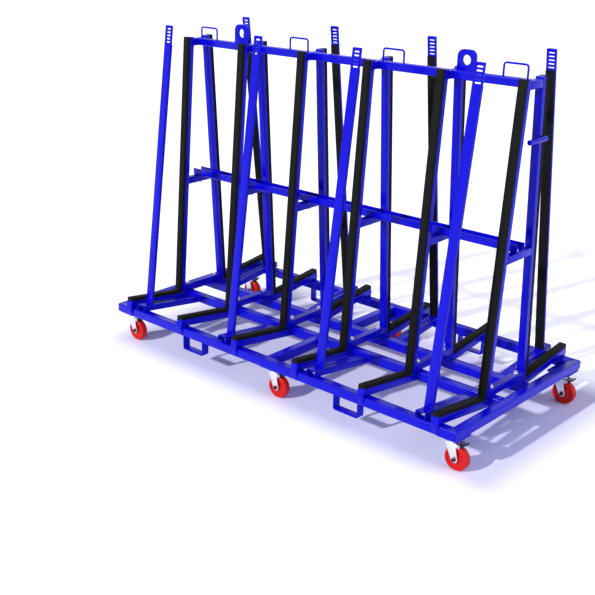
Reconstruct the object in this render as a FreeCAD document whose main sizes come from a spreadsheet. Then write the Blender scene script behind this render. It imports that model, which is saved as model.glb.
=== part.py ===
"""Glazing trolley: a wheeled A-frame rack that carries sheets of glass on edge, on both of its sides.

Six A-frames of tube stand on a tube base with six swivel castors. Glass stands on sloping rubber ledges,
leans on rubber-faced uprights, and is kept in by flat poles that drop into slotted racks.
Millimetres and degrees. +X runs along the trolley, +Z is up, and the origin is on the floor
under the middle of the whole outline.
"""
import FreeCAD, Part
import math
import os
import re

# Driving dimensions
SIZES = (
    # Base of square tube
    ("base_length", 2400.0),
    ("base_width", 1160.0),
    ("rail_size", 50.0),
    ("rail_wall", 3.0),
    ("rail_corner", 6.0),
    ("inner_rail_reach", 142.0),
    ("mount_plate_side", 120.0),
    ("mount_plate_thickness", 8.0),
    ("mount_plate_inset", 12.0),
    ("plate_corner", 8.0),
    # Pockets for a lift truck's forks
    ("pocket_offset", 552.0),
    ("pocket_width", 160.0),
    ("pocket_depth", 80.0),
    ("pocket_bar_width", 46.0),
    ("pocket_bar_thickness", 8.0),
    ("pocket_inner_bend", 4.0),
    # A-frames
    ("frame_count", 6.0),
    ("frame_end_inset", 115.0),
    ("frame_tube_width", 40.0),
    ("frame_tube_depth", 30.0),
    ("frame_wall", 2.5),
    ("frame_corner", 5.0),
    ("upright_foot_reach", 184.0),
    ("upright_lean", 4.0),
    ("frame_height", 1525.0),
    ("foot_bar_height", 40.0),
    ("mid_bar_level", 670.0),
    ("mid_bar_height", 40.0),
    ("rubber_thickness", 20.0),
    # Rails that join the frames
    ("top_rail_size", 40.0),
    ("top_rail_drop", 10.0),
    ("mid_rail_width", 65.0),
    ("mid_rail_height", 40.0),
    ("mid_rail_wall", 4.0),
    ("channel_bend", 6.0),
    # Glass ledges and pole racks
    ("ledge_slope", 7.4),
    ("ledge_size", 40.0),
    ("ledge_overhang", 12.0),
    ("gusset_width", 34.0),
    ("gusset_drop", 50.0),
    ("gusset_foot", 3.0),
    ("rubber_gap", 0.5),
    ("rack_width", 60.0),
    ("rack_height", 35.0),
    ("rack_wall", 4.0),
    ("rack_from_end_frame", 90.0),
    ("rack_from_middle_frame", 104.0),
    ("slot_count", 13.0),
    ("slot_pitch", 22.0),
    ("slot_first", 46.0),
    ("slot_clearance", 0.5),
    # Retaining poles
    ("pole_length", 1596.0),
    ("pole_width", 50.0),
    ("pole_thickness", 12.0),
    ("pole_rubber_thickness", 5.0),
    ("pole_bare_top", 100.0),
    ("pole_corner", 5.0),
    ("tongue_width", 26.0),
    ("tongue_length", 30.0),
    ("tie_slot_count", 5.0),
    ("tie_slot_length", 35.0),
    ("tie_slot_height", 7.5),
    ("tie_slot_pitch", 17.5),
    ("tie_slot_first", 15.5),
    # Lifting eyes, hand holds and strap peg
    ("eye_from_frame", 81.0),
    ("eye_width", 100.0),
    ("eye_height", 100.0),
    ("eye_thickness", 15.0),
    ("eye_corner", 32.0),
    ("eye_hole_radius", 24.0),
    ("eye_hole_level", 52.0),
    ("handle_from_middle_frame", 93.0),
    ("handle_from_end_frame", 93.0),
    ("handle_span", 125.0),
    ("handle_height", 67.0),
    ("handle_bar_radius", 5.0),
    ("handle_bend", 14.0),
    ("peg_radius", 12.5),
    ("peg_length", 150.0),
    ("peg_front", 41.0),
    ("peg_level", 1240.0),
    ("peg_edge", 3.0),
    # Castors, from the floor up
    ("wheel_diameter", 125.0),
    ("wheel_width", 38.0),
    ("tread_edge", 8.0),
    ("rim_radius", 46.0),
    ("rim_recess", 5.0),
    ("hub_radius", 17.0),
    ("hub_width", 46.0),
    ("crown_clearance", 14.0),
    ("crown_thickness", 6.0),
    ("crown_length", 60.0),
    ("cup_height", 13.0),
    ("cup_radius", 28.0),
    ("race_gap", 0.3),
    ("race_height", 7.7),
    ("race_radius", 26.0),
    ("castor_plate_length", 105.0),
    ("castor_plate_width", 85.0),
    ("castor_plate_thickness", 6.0),
    ("castor_bolt_span", 80.0),
    ("castor_bolt_gauge", 60.0),
    ("castor_end_inset", 60.0),
    ("castor_side_inset", 79.0),
    ("castor_mid_offset", 14.0),
    ("castor_trail", 26.0),
    ("fork_gap", 49.0),
    ("fork_thickness", 5.0),
    ("fork_leg_width", 34.0),
    ("fork_shoulder_width", 62.0),
    ("kingpin_radius", 10.0),
    ("kingpin_head_radius", 14.0),
    ("kingpin_head_height", 7.5),
    ("axle_radius", 6.0),
    ("running_clearance", 0.05),
    # Brake pedals
    ("pedal_pivot_reach", 42.0),
    ("pedal_pivot_drop", 5.0),
    ("pedal_pin_radius", 4.0),
    ("pedal_hub_radius", 8.0),
    ("pedal_hub_width", 44.0),
    ("pedal_width", 36.0),
    ("pedal_length", 32.0),
    ("pedal_thickness", 5.0),
    ("pedal_lip_radius", 4.0),
    ("pedal_rise", 14.0),
    ("brake_lobe_radius", 6.5),
    ("brake_lobe_reach", 9.0),
    ("brake_lobe_drop", 2.0),
    # Fasteners
    ("frame_bolt_radius", 6.0),
    ("rail_bolt_radius", 5.0),
    ("castor_bolt_radius", 5.0),
    ("bolt_hole_clearance", 0.5),
    # Overrun that lets a cutting shape pass its target
    ("cut_overrun", 5.0),
)
SHEET = "Sizes"

# A hexagon's corner radius and a head's height, as shares of its bolt's radius
HEX_CORNER_SHARE = 1.85
HEX_HEIGHT_SHARE = 1.3
HEXAGON_SIDES = 6
# Below this sine of the angle between them, two directions count as parallel
PARALLEL_SINE = 0.001
HALF_TURN = 180.0
QUARTER_TURN = 90.0
FRONT = 0.0
REAR = HALF_TURN
BOTH_SIDES = (FRONT, REAR)

X_AXIS = FreeCAD.Vector(1, 0, 0)
Y_AXIS = FreeCAD.Vector(0, 1, 0)
Z_AXIS = FreeCAD.Vector(0, 0, 1)
NO_TURN = FreeCAD.Rotation()
ALONG_Y = FreeCAD.Rotation(X_AXIS, -QUARTER_TURN)
UPRIGHT_PLANE = FreeCAD.Rotation(X_AXIS, QUARTER_TURN)
# Turns a profile drawn in X and Y to stand in Y and Z, and run along X
PROFILE_ALONG_X = FreeCAD.Rotation(Y_AXIS, Z_AXIS, X_AXIS, "XYZ")

doc = FreeCAD.newDocument("glazing_trolley")
nodes = []


class Values:
    """The sheet's numbers, by alias, for working out places."""


def write_sheet(sheet):
    """Put the driving dimensions in a sheet and return their numbers."""
    for row, (alias, value) in enumerate(SIZES, start=1):
        sheet.set(f"A{row}", alias)
        sheet.set(f"B{row}", str(value))
        sheet.setAlias(f"B{row}", alias)
    doc.recompute()
    values = Values()
    for alias, _ in SIZES:
        setattr(values, alias, float(sheet.get(alias)))
    return values


dimension_sheet = doc.addObject("Spreadsheet::Sheet", SHEET)
s = write_sheet(dimension_sheet)


def cell(word):
    """Point a dimension's name in an expression at its cell."""
    name = word.group()
    return f"{SHEET}.{name}" if hasattr(s, name) else name


def value_of(text):
    """The value of an expression on the sheet."""
    return float(dimension_sheet.evalExpression(text))


def bound(kind, name, place, **sizes):
    """Add an object whose sizes are expressions on the sheet."""
    item = doc.addObject(kind, name)
    for prop, text in sizes.items():
        item.setExpression(prop, re.sub("[a-z_]+", cell, text))
    item.Placement = place
    return item


def at(x=0.0, y=0.0, z=0.0, turn=NO_TURN):
    return FreeCAD.Placement(FreeCAD.Vector(x, y, z), turn)


def box(name, length, width, height, place):
    return bound("Part::Box", name, place, Length=length, Width=width, Height=height)


def cylinder(name, radius, height, place):
    return bound("Part::Cylinder", name, place, Radius=radius, Height=height)


def hexagon(name, bolt_radius, place):
    """A bolt head or nut, sized from its bolt."""
    item = bound(
        "Part::Prism",
        name,
        place,
        Circumradius=f"{bolt_radius} * {HEX_CORNER_SHARE}",
        Height=f"{bolt_radius} * {HEX_HEIGHT_SHARE}",
    )
    item.Polygon = HEXAGON_SIDES
    return item


def group(name, items, place=None):
    item = doc.addObject("Part::Compound", name)
    item.Links = list(items)
    item.Placement = place or at()
    return item


def copy(name, master, place):
    """The same piece again, in another place."""
    return group(name, [master], place)


def cut(name, base, *tools):
    item = doc.addObject("Part::Cut", name)
    item.Base = base
    item.Tool = tools[0] if len(tools) == 1 else group(f"{name}_tools", tools)
    return item


def fuse(name, *items):
    item = doc.addObject("Part::MultiFuse", name)
    item.Shapes = list(items)
    return item


def fillet(name, base, radius, wanted):
    """Round the edges of base that wanted picks."""
    doc.recompute()
    item = doc.addObject("Part::Fillet", name)
    item.Base = base
    middle = base.Shape.BoundBox.Center
    edges = enumerate(base.Shape.Edges, start=1)
    item.Edges = [(number, radius, radius) for number, edge in edges if wanted(edge, middle)]
    return item


def edges_along(axis, towards=None):
    """Picks the straight edges that run along an axis; towards keeps those on one side of the middle."""
    def wanted(edge, middle):
        start, end = (vertex.Point for vertex in edge.Vertexes)
        is_parallel = abs(math.sin((end - start).getAngle(axis))) < PARALLEL_SINE
        return is_parallel and (towards is None or (start + end - middle * 2).dot(towards) > 0)
    return wanted


def rounded(item, radius, axis, towards=None):
    """Round a bar's edges along one of its own axes."""
    turn = item.Placement.Rotation
    side = None if towards is None else turn.multVec(towards)
    return fillet(f"{item.Name}_rounded", item, radius, edges_along(turn.multVec(axis), side))


def tube(name, outer, bore, axis, corner, wall):
    """A hollow bar with round corners of even wall."""
    return cut(name, rounded(outer, corner, axis), rounded(bore, corner - wall, axis))


def node(label, item):
    """Name a finished sub-part: its label is its file's name."""
    item.Label = label
    nodes.append(item)
    return item


def sine(angle):
    return math.sin(math.radians(angle))


def cosine(angle):
    return math.cos(math.radians(angle))


# Levels above the floor, from the wheels up
axle_level = s.wheel_diameter / 2
crown_bottom = s.wheel_diameter + s.crown_clearance
crown_top = crown_bottom + s.crown_thickness
race_bottom = crown_top + s.cup_height + s.race_gap
castor_plate_bottom = race_bottom + s.race_height
mount_plate_bottom = castor_plate_bottom + s.castor_plate_thickness
rail_bottom = mount_plate_bottom + s.mount_plate_thickness
rail_top = rail_bottom + s.rail_size
frame_top = rail_top + s.frame_height
top_rail_top = frame_top - s.top_rail_drop
mid_bar_top = rail_top + s.mid_bar_level + s.mid_bar_height

# Distances from the middle of the base
half_length = s.base_length / 2
half_width = s.base_width / 2
fork_half = s.fork_gap / 2 + s.fork_thickness
frame_count = int(s.frame_count)
end_frame = half_length - s.frame_end_inset
frame_pitch = 2 * end_frame / (frame_count - 1)
frame_places = [i * frame_pitch - end_frame for i in range(frame_count)]
pedal_level = crown_bottom - s.pedal_pivot_drop

# The castors trail to the right, so the whole outline's middle lies right of the base's
pedal_lip_level = s.pedal_hub_radius - s.pedal_thickness / 2
pedal_tip = s.pedal_length * cosine(s.pedal_rise) - pedal_lip_level * sine(s.pedal_rise) + s.pedal_lip_radius
castor_reach = max(s.castor_trail + axle_level, s.pedal_pivot_reach + pedal_tip)
right_overhang = max(castor_reach - s.castor_end_inset, 0.0)
base_x = -right_overhang / 2


def on_base(x=0.0, y=0.0, z=0.0, turn=NO_TURN, side=FRONT):
    """A place given from the middle of the base, turned round to the rear side where asked."""
    rear = at(turn=FreeCAD.Rotation(Z_AXIS, side))
    return at(base_x) * rear * at(x, y, z, turn)


def mitred_rail(name, length, side_turn, reach):
    """A hollow square rail whose ends are cut at 45 degrees to meet its neighbours."""
    place = on_base(0.0, 0.0, rail_bottom, side=side_turn) * at(0.0, -reach)
    outer = bound(
        "Part::Wedge", f"{name}_outer", place,
        Xmin=f"-{length} / 2", Xmax=f"{length} / 2",
        Ymin="0", Ymax="rail_size", Zmin="0", Zmax="rail_size",
        X2min=f"rail_size - {length} / 2", X2max=f"{length} / 2 - rail_size",
        Z2min="0", Z2max="rail_size",
    )
    bore = bound(
        "Part::Wedge", f"{name}_bore", place,
        Xmin=f"rail_wall - cut_overrun - {length} / 2", Xmax=f"{length} / 2 + cut_overrun - rail_wall",
        Ymin="rail_wall", Ymax="rail_size - rail_wall",
        Zmin="rail_wall", Zmax="rail_size - rail_wall",
        X2min=f"rail_size - rail_wall - cut_overrun - {length} / 2",
        X2max=f"{length} / 2 + cut_overrun - rail_size + rail_wall",
        Z2min="rail_wall", Z2max="rail_size - rail_wall",
    )
    return tube(name, outer, bore, X_AXIS, s.rail_corner, s.rail_wall)


def square_tube(name, length, place, along):
    """An open tube of the rails' section that starts at place and runs along X or Y."""
    sizes = {"x": "rail_size", "y": "rail_size"}
    sizes[along] = length
    bores = {"x": "rail_size - 2 * rail_wall", "y": "rail_size - 2 * rail_wall"}
    bores[along] = f"{length} + 2 * cut_overrun"
    starts = {"x": s.rail_wall, "y": s.rail_wall}
    starts[along] = -s.cut_overrun
    outer = box(f"{name}_outer", sizes["x"], sizes["y"], "rail_size", place)
    inner_place = place * at(starts["x"], starts["y"], s.rail_wall)
    inner = box(f"{name}_bore", bores["x"], bores["y"], "rail_size - 2 * rail_wall", inner_place)
    axis = X_AXIS if along == "x" else Y_AXIS
    return tube(name, outer, inner, axis, s.rail_corner, s.rail_wall)


def hole(name, radius, depth, place):
    """A cutting cylinder for a fastener's hole."""
    return cylinder(name, f"{radius} + bolt_hole_clearance", depth, place)


def frame_bolt_places():
    """Where each A-frame's foot bar is bolted down through the inner rails."""
    reach = s.inner_rail_reach - s.rail_size / 2
    return [(x, y) for x in frame_places for y in (-reach, reach)]


def make_base():
    node("front_rail", mitred_rail("front", "base_length", FRONT, half_width))
    node("rear_rail", mitred_rail("rear", "base_length", REAR, half_width))
    end_rails = [
        mitred_rail("end", "base_width", turn, half_length)
        for turn in (-QUARTER_TURN, QUARTER_TURN)
    ]
    node("end_rails", group("end_rails", end_rails))

    holes = [
        hole("rail_bolt_hole", "frame_bolt_radius", "rail_size + 2 * cut_overrun",
             on_base(x, y, rail_bottom - s.cut_overrun))
        for x, y in frame_bolt_places()
    ]
    inner_length = "base_length - 2 * rail_size"
    inner_rails = [
        square_tube("inner_rail", inner_length,
                    on_base(s.rail_size - half_length, -s.inner_rail_reach, rail_bottom, side=side), "x")
        for side in BOTH_SIDES
    ]
    node("inner_rails", cut("inner_rails", group("inner_rail_pair", inner_rails), *holes))

    cross_length = "base_width / 2 - rail_size - inner_rail_reach"
    cross_tubes = [
        square_tube("cross_tube", cross_length,
                    on_base(-s.rail_size / 2, s.rail_size - half_width, rail_bottom, side=side), "y")
        for side in BOTH_SIDES
    ]
    node("cross_tubes", group("cross_tubes", cross_tubes))


def make_fork_pockets():
    """Straps bent to a U, welded under the long rails."""
    outer = box("pocket_outer", "pocket_width", "pocket_bar_width", "pocket_depth",
                at(-s.pocket_width / 2, -s.pocket_bar_width / 2, -s.pocket_depth))
    inner = box("pocket_inner", "pocket_width - 2 * pocket_bar_thickness",
                "pocket_bar_width + 2 * cut_overrun", "pocket_depth - pocket_bar_thickness + cut_overrun",
                at(s.pocket_bar_thickness - s.pocket_width / 2, -s.pocket_bar_width / 2 - s.cut_overrun,
                   s.pocket_bar_thickness - s.pocket_depth))
    outer_bend = s.pocket_inner_bend + s.pocket_bar_thickness
    strap = cut("pocket_strap", rounded(outer, outer_bend, Y_AXIS, -Z_AXIS),
                rounded(inner, s.pocket_inner_bend, Y_AXIS, -Z_AXIS))
    straps = [
        copy("pocket_strap_place", strap,
             on_base(x, s.rail_size / 2 - half_width, rail_bottom, side=side))
        for side in BOTH_SIDES
        for x in (-s.pocket_offset, s.pocket_offset)
    ]
    node("fork_pocket_straps", group("fork_pocket_straps", straps))


# How far a sloping piece sinks where the rail's corner is round, and its rubber's top over the rail there
SEAT_DROP = "(rail_corner * (1 - (1 - sin(ledge_slope)) / cos(ledge_slope)))"
LEDGE_TOP = f"((ledge_size + rubber_thickness) / cos(ledge_slope) - {SEAT_DROP})"


def lean_turn(angle):
    """Tilt that leans a front piece's top towards the middle."""
    return FreeCAD.Rotation(X_AXIS, -angle)


def upright_inset(level):
    """Expression for the distance from the middle to an upright's inner face, level above its foot."""
    return f"(upright_foot_reach - frame_tube_depth / cos(upright_lean) - ({level}) * tan(upright_lean))"


def crossbar(name, level, height):
    """A hollow bar across an A-frame, with ends cut to meet the leaning uprights."""
    place = at(-s.frame_tube_width / 2, 0.0, rail_top, PROFILE_ALONG_X)
    low = upright_inset(level)
    high = upright_inset(f"{level} + {height}")
    outer = bound(
        "Part::Wedge", f"{name}_outer", place,
        Xmin=f"-{low}", Xmax=low, X2min=f"-{high}", X2max=high,
        Ymin=level, Ymax=f"{level} + {height}",
        Zmin="0", Zmax="frame_tube_width", Z2min="0", Z2max="frame_tube_width",
    )
    bore = bound(
        "Part::Wedge", f"{name}_bore", place,
        Xmin=f"-{low} - cut_overrun", Xmax=f"{low} + cut_overrun",
        X2min=f"-{low} - cut_overrun", X2max=f"{low} + cut_overrun",
        Ymin=f"{level} + frame_wall", Ymax=f"{level} + {height} - frame_wall",
        Zmin="frame_wall", Zmax="frame_tube_width - frame_wall",
        Z2min="frame_wall", Z2max="frame_tube_width - frame_wall",
    )
    return tube(name, outer, bore, X_AXIS, s.frame_corner, s.frame_wall)


def upright_place(side, depth=0.0):
    """The foot of an upright, depth behind its outer steel face."""
    rear = at(turn=FreeCAD.Rotation(Z_AXIS, side))
    foot = at(-s.frame_tube_width / 2, -s.upright_foot_reach, rail_top, lean_turn(s.upright_lean))
    return rear * foot * at(0.0, depth)


UPRIGHT_LENGTH = "frame_height / cos(upright_lean)"
# An upright's rubber starts above the ledge's rubber, which runs on under it to the steel
FACING_REACH = "(upright_foot_reach + rubber_thickness)"
FACING_FALL = f"((base_width / 2 - rail_size - {FACING_REACH}) * tan(ledge_slope))"
FACING_FOOT = f"max(0; {LEDGE_TOP} - {FACING_FALL} + rubber_gap)"


def upright(name, side):
    """A leaning tube, open at its foot and capped at its top."""
    place = upright_place(side)
    outer = box(f"{name}_outer", "frame_tube_width", "frame_tube_depth", UPRIGHT_LENGTH, place)
    bore = box(f"{name}_bore", "frame_tube_width - 2 * frame_wall", "frame_tube_depth - 2 * frame_wall",
               f"{UPRIGHT_LENGTH} - frame_wall + cut_overrun",
               place * at(s.frame_wall, s.frame_wall, -s.cut_overrun))
    return tube(name, outer, bore, Z_AXIS, s.frame_corner, s.frame_wall)


def make_frames():
    """Welded A-frames. The top rail passes through the inner ones and butts on the end ones."""
    reach = s.inner_rail_reach - s.rail_size / 2
    foot_holes = [
        hole("foot_bolt_hole", "frame_bolt_radius", "foot_bar_height + 2 * cut_overrun",
             at(0.0, y, rail_top - s.cut_overrun))
        for y in (-reach, reach)
    ]
    mid_hole = hole("mid_bolt_hole", "rail_bolt_radius", "mid_bar_height + 2 * cut_overrun",
                    at(0.0, 0.0, rail_top + s.mid_bar_level - s.cut_overrun))
    foot_bar = cut("foot_bar", crossbar("foot_tube", "0", "foot_bar_height"), *foot_holes)
    mid_bar = cut("mid_bar", crossbar("mid_tube", "mid_bar_level", "mid_bar_height"), mid_hole)
    top_bar = crossbar("top_bar", "(frame_height - top_rail_drop - top_rail_size)", "top_rail_size")
    passage = box("top_rail_passage", "frame_tube_width + 2 * cut_overrun", "top_rail_size",
                  "top_rail_size + cut_overrun",
                  at(-s.frame_tube_width / 2 - s.cut_overrun, -s.top_rail_size / 2,
                     top_rail_top - s.top_rail_size))
    split_top_bar = cut("split_top_bar", top_bar, passage)
    common = [upright("front_upright", FRONT), upright("rear_upright", REAR), foot_bar, mid_bar]
    end_master = group("end_frame", common + [top_bar])
    inner_master = group("inner_frame", common + [split_top_bar])
    for number, x in enumerate(frame_places, start=1):
        master = end_master if number in (1, frame_count) else inner_master
        node(f"a_frame_{number}", copy("a_frame", master, on_base(x)))

    facings = [
        box("upright_facing", "frame_tube_width", "rubber_thickness", f"{UPRIGHT_LENGTH} - {FACING_FOOT}",
            on_base(x) * upright_place(side, -s.rubber_thickness) * at(z=value_of(FACING_FOOT)))
        for x in frame_places
        for side in BOTH_SIDES
    ]
    node("upright_rubbers", group("upright_rubbers", facings))


def make_joining_rails():
    """The tube along the frames' tops and the channel along their middles."""
    rail_length = "(base_length - 2 * frame_end_inset - frame_tube_width)"
    rail_place = on_base(s.frame_tube_width / 2 - end_frame, -s.top_rail_size / 2,
                         top_rail_top - s.top_rail_size)
    outer = box("top_rail_outer", rail_length, "top_rail_size", "top_rail_size", rail_place)
    bore = box("top_rail_bore", f"{rail_length} + 2 * cut_overrun", "top_rail_size - 2 * rail_wall",
               "top_rail_size - 2 * rail_wall", rail_place * at(-s.cut_overrun, s.rail_wall, s.rail_wall))
    node("top_rail", tube("top_rail", outer, bore, X_AXIS, s.rail_corner, s.rail_wall))

    channel_length = "(base_length - 2 * frame_end_inset + frame_tube_width)"
    channel_place = on_base(-end_frame - s.frame_tube_width / 2, -s.mid_rail_width / 2, mid_bar_top)
    outer = box("mid_rail_outer", channel_length, "mid_rail_width", "mid_rail_height", channel_place)
    trough = box("mid_rail_trough", f"{channel_length} + 2 * cut_overrun",
                 "mid_rail_width - 2 * mid_rail_wall", "mid_rail_height",
                 channel_place * at(-s.cut_overrun, s.mid_rail_wall, s.mid_rail_wall))
    holes = [
        hole("mid_rail_hole", "rail_bolt_radius", "mid_rail_wall + 2 * cut_overrun",
             on_base(x, 0.0, mid_bar_top - s.cut_overrun))
        for x in frame_places
    ]
    bent_outer = rounded(outer, s.channel_bend, X_AXIS, -Z_AXIS)
    bent_trough = rounded(trough, s.channel_bend - s.mid_rail_wall, X_AXIS, -Z_AXIS)
    node("mid_rail", cut("mid_rail", bent_outer, bent_trough, *holes))


def slope_place(x, side):
    """Local frame of a ledge or rack: on the rail's round corner, with +Y down the slope to the middle."""
    level = rail_top - value_of(SEAT_DROP)
    return on_base(x, s.rail_size - half_width, level, lean_turn(s.ledge_slope), side)


def trim_to_inner_rails(name, pieces):
    """Cut sloping pieces back to the inner rails' faces, which they butt on."""
    room = box(f"{name}_room", "base_length", "2 * inner_rail_reach", "3 * rail_size",
               on_base(-half_length, -s.inner_rail_reach, rail_bottom - s.rail_size))
    return cut(name, group(f"{name}_row", pieces), room)


SLOPE_RUN = "((base_width / 2 - inner_rail_reach) / cos(ledge_slope) + rail_size)"
STRIP_SPAN = "base_width / 2 + ledge_overhang - upright_foot_reach - rubber_gap"
STRIP_RISE = "(ledge_size + rubber_thickness) * sin(ledge_slope)"
STRIP_RUN = f"({STRIP_SPAN} - {STRIP_RISE}) / cos(ledge_slope)"
# The outer rail's face at a gusset's top and foot, along the slope from the ledge's end
GUSSET_TOP = "(ledge_overhang / cos(ledge_slope))"
GUSSET_FOOT = f"({GUSSET_TOP} + gusset_drop * tan(ledge_slope))"


def make_ledges():
    """Sloping tubes, capped at their outer ends, on the outer rails, with end gussets and rubber on top."""
    start = -(s.rail_size + s.ledge_overhang) / cosine(s.ledge_slope)
    places = [
        slope_place(x, side) * at(-s.ledge_size / 2, start)
        for side in BOTH_SIDES
        for x in frame_places
    ]
    outer = box("ledge_outer", "ledge_size", SLOPE_RUN, "ledge_size", at())
    bore = box("ledge_bore", "ledge_size - 2 * frame_wall", SLOPE_RUN, "ledge_size - 2 * frame_wall",
               at(s.frame_wall, s.frame_wall, s.frame_wall))
    ledge = tube("ledge_tube", outer, bore, Y_AXIS, s.frame_corner, s.frame_wall)
    gusset = bound(
        "Part::Wedge", "ledge_gusset",
        at((s.ledge_size - s.gusset_width) / 2, 0.0, -s.gusset_drop, PROFILE_ALONG_X),
        Xmin=f"{GUSSET_FOOT} - gusset_foot", Xmax=GUSSET_FOOT, X2min="0", X2max=GUSSET_TOP,
        Ymin="0", Ymax="gusset_drop",
        Zmin="0", Zmax="gusset_width", Z2min="0", Z2max="gusset_width",
    )
    strip = box("ledge_strip", "ledge_size", STRIP_RUN, "rubber_thickness", at(z=s.ledge_size))
    tubes = [copy("ledge_tube_place", ledge, place) for place in places]
    gussets = [copy("ledge_gusset_place", gusset, place) for place in places]
    node("ledge_tubes", group("ledges", [trim_to_inner_rails("trimmed_ledges", tubes)] + gussets))
    strips = [copy("ledge_strip_place", strip, place) for place in places]
    node("ledge_rubbers", group("ledge_rubbers", strips))


def pole_places():
    """Along X: beside the end frames and the two middle frames, always on the side nearest the next pole."""
    outer = end_frame - s.rack_from_end_frame
    inner = frame_pitch / 2 + s.rack_from_middle_frame
    return (-outer, -inner, inner, outer)


def rack_start():
    """A rack's outer end, flush with the outer rail's face, along its slope."""
    return -s.rail_size / cosine(s.ledge_slope)


def make_racks():
    """Channels, open below, with a row of slots that take the poles' tongues."""
    start = rack_start()
    slots = [
        box("rack_slot", "tongue_width + 2 * slot_clearance", "pole_thickness + 2 * slot_clearance",
            "rack_wall + 2 * cut_overrun",
            at(-s.tongue_width / 2 - s.slot_clearance,
               start + s.slot_first + i * s.slot_pitch - s.pole_thickness / 2 - s.slot_clearance,
               s.rack_height - s.rack_wall - s.cut_overrun))
        for i in range(int(s.slot_count))
    ]
    outer = box("rack_outer", "rack_width", SLOPE_RUN, "rack_height", at(-s.rack_width / 2, start))
    trough = box("rack_trough", "rack_width - 2 * rack_wall", f"{SLOPE_RUN} + 2 * cut_overrun",
                 "rack_height - rack_wall + cut_overrun",
                 at(s.rack_wall - s.rack_width / 2, start - s.cut_overrun, -s.cut_overrun))
    rack = cut("rack", rounded(outer, s.channel_bend, Y_AXIS, Z_AXIS),
               rounded(trough, s.channel_bend - s.rack_wall, Y_AXIS, Z_AXIS), *slots)
    racks = [
        copy("rack_place", rack, slope_place(x, side))
        for side in BOTH_SIDES
        for x in pole_places()
    ]
    node("pole_racks", trim_to_inner_rails("pole_racks", racks))


def make_poles():
    """Flat bars that stand square on the racks, a welded tongue in a slot, with rubber towards the glass."""
    half_thickness = s.pole_thickness / 2
    bar = box("pole_bar", "pole_width", "pole_thickness", "pole_length",
              at(-s.pole_width / 2, -half_thickness))
    tongue = box("pole_tongue", "tongue_width", "pole_thickness", "tongue_length",
                 at(-s.tongue_width / 2, -half_thickness, -s.tongue_length))
    tie_slots = [
        box("tie_slot", "tie_slot_length", "pole_thickness + 2 * cut_overrun", "tie_slot_height",
            at(-s.tie_slot_length / 2, -half_thickness - s.cut_overrun,
               s.pole_length - s.tie_slot_first - i * s.tie_slot_pitch - s.tie_slot_height))
        for i in range(int(s.tie_slot_count))
    ]
    slotted_bar = cut("pole_slotted_bar", rounded(bar, s.pole_corner, Y_AXIS, Z_AXIS), *tie_slots)
    pole = group("pole", [slotted_bar, tongue])
    facing = box("pole_facing", "pole_width", "pole_rubber_thickness",
                 "pole_length - pole_bare_top - rubber_gap",
                 at(-s.pole_width / 2, half_thickness, s.rubber_gap))
    stand = at(0.0, rack_start() + s.slot_first + s.slot_pitch, s.rack_height)
    for side, side_name in ((FRONT, "front"), (REAR, "rear")):
        for number, x in enumerate(pole_places(), start=1):
            place = slope_place(x if side == FRONT else -x, side) * stand
            node(f"pole_{side_name}_{number}", copy("pole_place", pole, place))
            node(f"pole_rubber_{side_name}_{number}", copy("pole_facing_place", facing, place))


def make_lifting_eyes():
    """Plates on the top rail with a hole for a shackle."""
    plate = box("eye_plate", "eye_width", "eye_thickness", "eye_height",
                at(-s.eye_width / 2, -s.eye_thickness / 2))
    bore = cylinder("eye_hole", "eye_hole_radius", "eye_thickness + 2 * cut_overrun",
                    at(0.0, -s.eye_thickness / 2 - s.cut_overrun, s.eye_hole_level, ALONG_Y))
    eye = cut("eye", rounded(plate, s.eye_corner, Y_AXIS, Z_AXIS), bore)
    offset = end_frame - frame_pitch + s.eye_from_frame
    eyes = [copy("eye_place", eye, on_base(x, 0.0, top_rail_top)) for x in (-offset, offset)]
    node("lifting_eyes", group("lifting_eyes", eyes))


def make_handles():
    """Hand holds of bent round bar, welded along the top rail."""
    half_span = s.handle_span / 2
    bend_level = s.handle_height - s.handle_bar_radius - s.handle_bend
    legs = [
        cylinder("handle_leg", "handle_bar_radius", "handle_height - handle_bar_radius - handle_bend", at(x))
        for x in (-half_span, half_span)
    ]
    grip = cylinder("handle_grip", "handle_bar_radius", "handle_span - 2 * handle_bend",
                    at(s.handle_bend - half_span, 0.0, s.handle_height - s.handle_bar_radius,
                       FreeCAD.Rotation(Y_AXIS, QUARTER_TURN)))
    bends = []
    for x, start in ((half_span - s.handle_bend, 0.0), (s.handle_bend - half_span, QUARTER_TURN)):
        turn = UPRIGHT_PLANE * FreeCAD.Rotation(Z_AXIS, start)
        bend = bound("Part::Torus", "handle_bend", at(x, 0.0, bend_level, turn),
                     Radius1="handle_bend", Radius2="handle_bar_radius")
        bend.Angle3 = QUARTER_TURN
        bends.append(bend)
    handle = fuse("handle", *legs, grip, *bends)
    inner = frame_pitch / 2 + s.handle_from_middle_frame
    outer = end_frame - s.handle_from_end_frame
    handles = [
        copy("handle_place", handle, on_base(x, 0.0, top_rail_top))
        for x in (-outer, -inner, inner, outer)
    ]
    node("rail_handles", group("rail_handles", handles))


def is_circle(edge, _):
    return edge.Curve.TypeId == "Part::GeomCircle"


def make_strap_peg():
    """A round bar welded across the side of the right-hand rear upright, to tie straps to."""
    side_face = end_frame + s.frame_tube_width / 2
    bar = cylinder("peg_bar", "peg_radius", "peg_length",
                   on_base(side_face + s.peg_radius, -s.peg_front, rail_top + s.peg_level, ALONG_Y))
    node("strap_peg", fillet("strap_peg", bar, s.peg_edge, is_circle))


def castor_places():
    """Name and swivel axis of each castor, measured from the middle of the base."""
    end = half_length - s.castor_end_inset
    side = half_width - s.castor_side_inset
    lengthwise = (("left", -end), ("middle", s.castor_mid_offset), ("right", end))
    crosswise = (("front", -side), ("rear", side))
    return [
        (f"{side_name}_{end_name}", x, y)
        for side_name, y in crosswise
        for end_name, x in lengthwise
    ]


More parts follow.
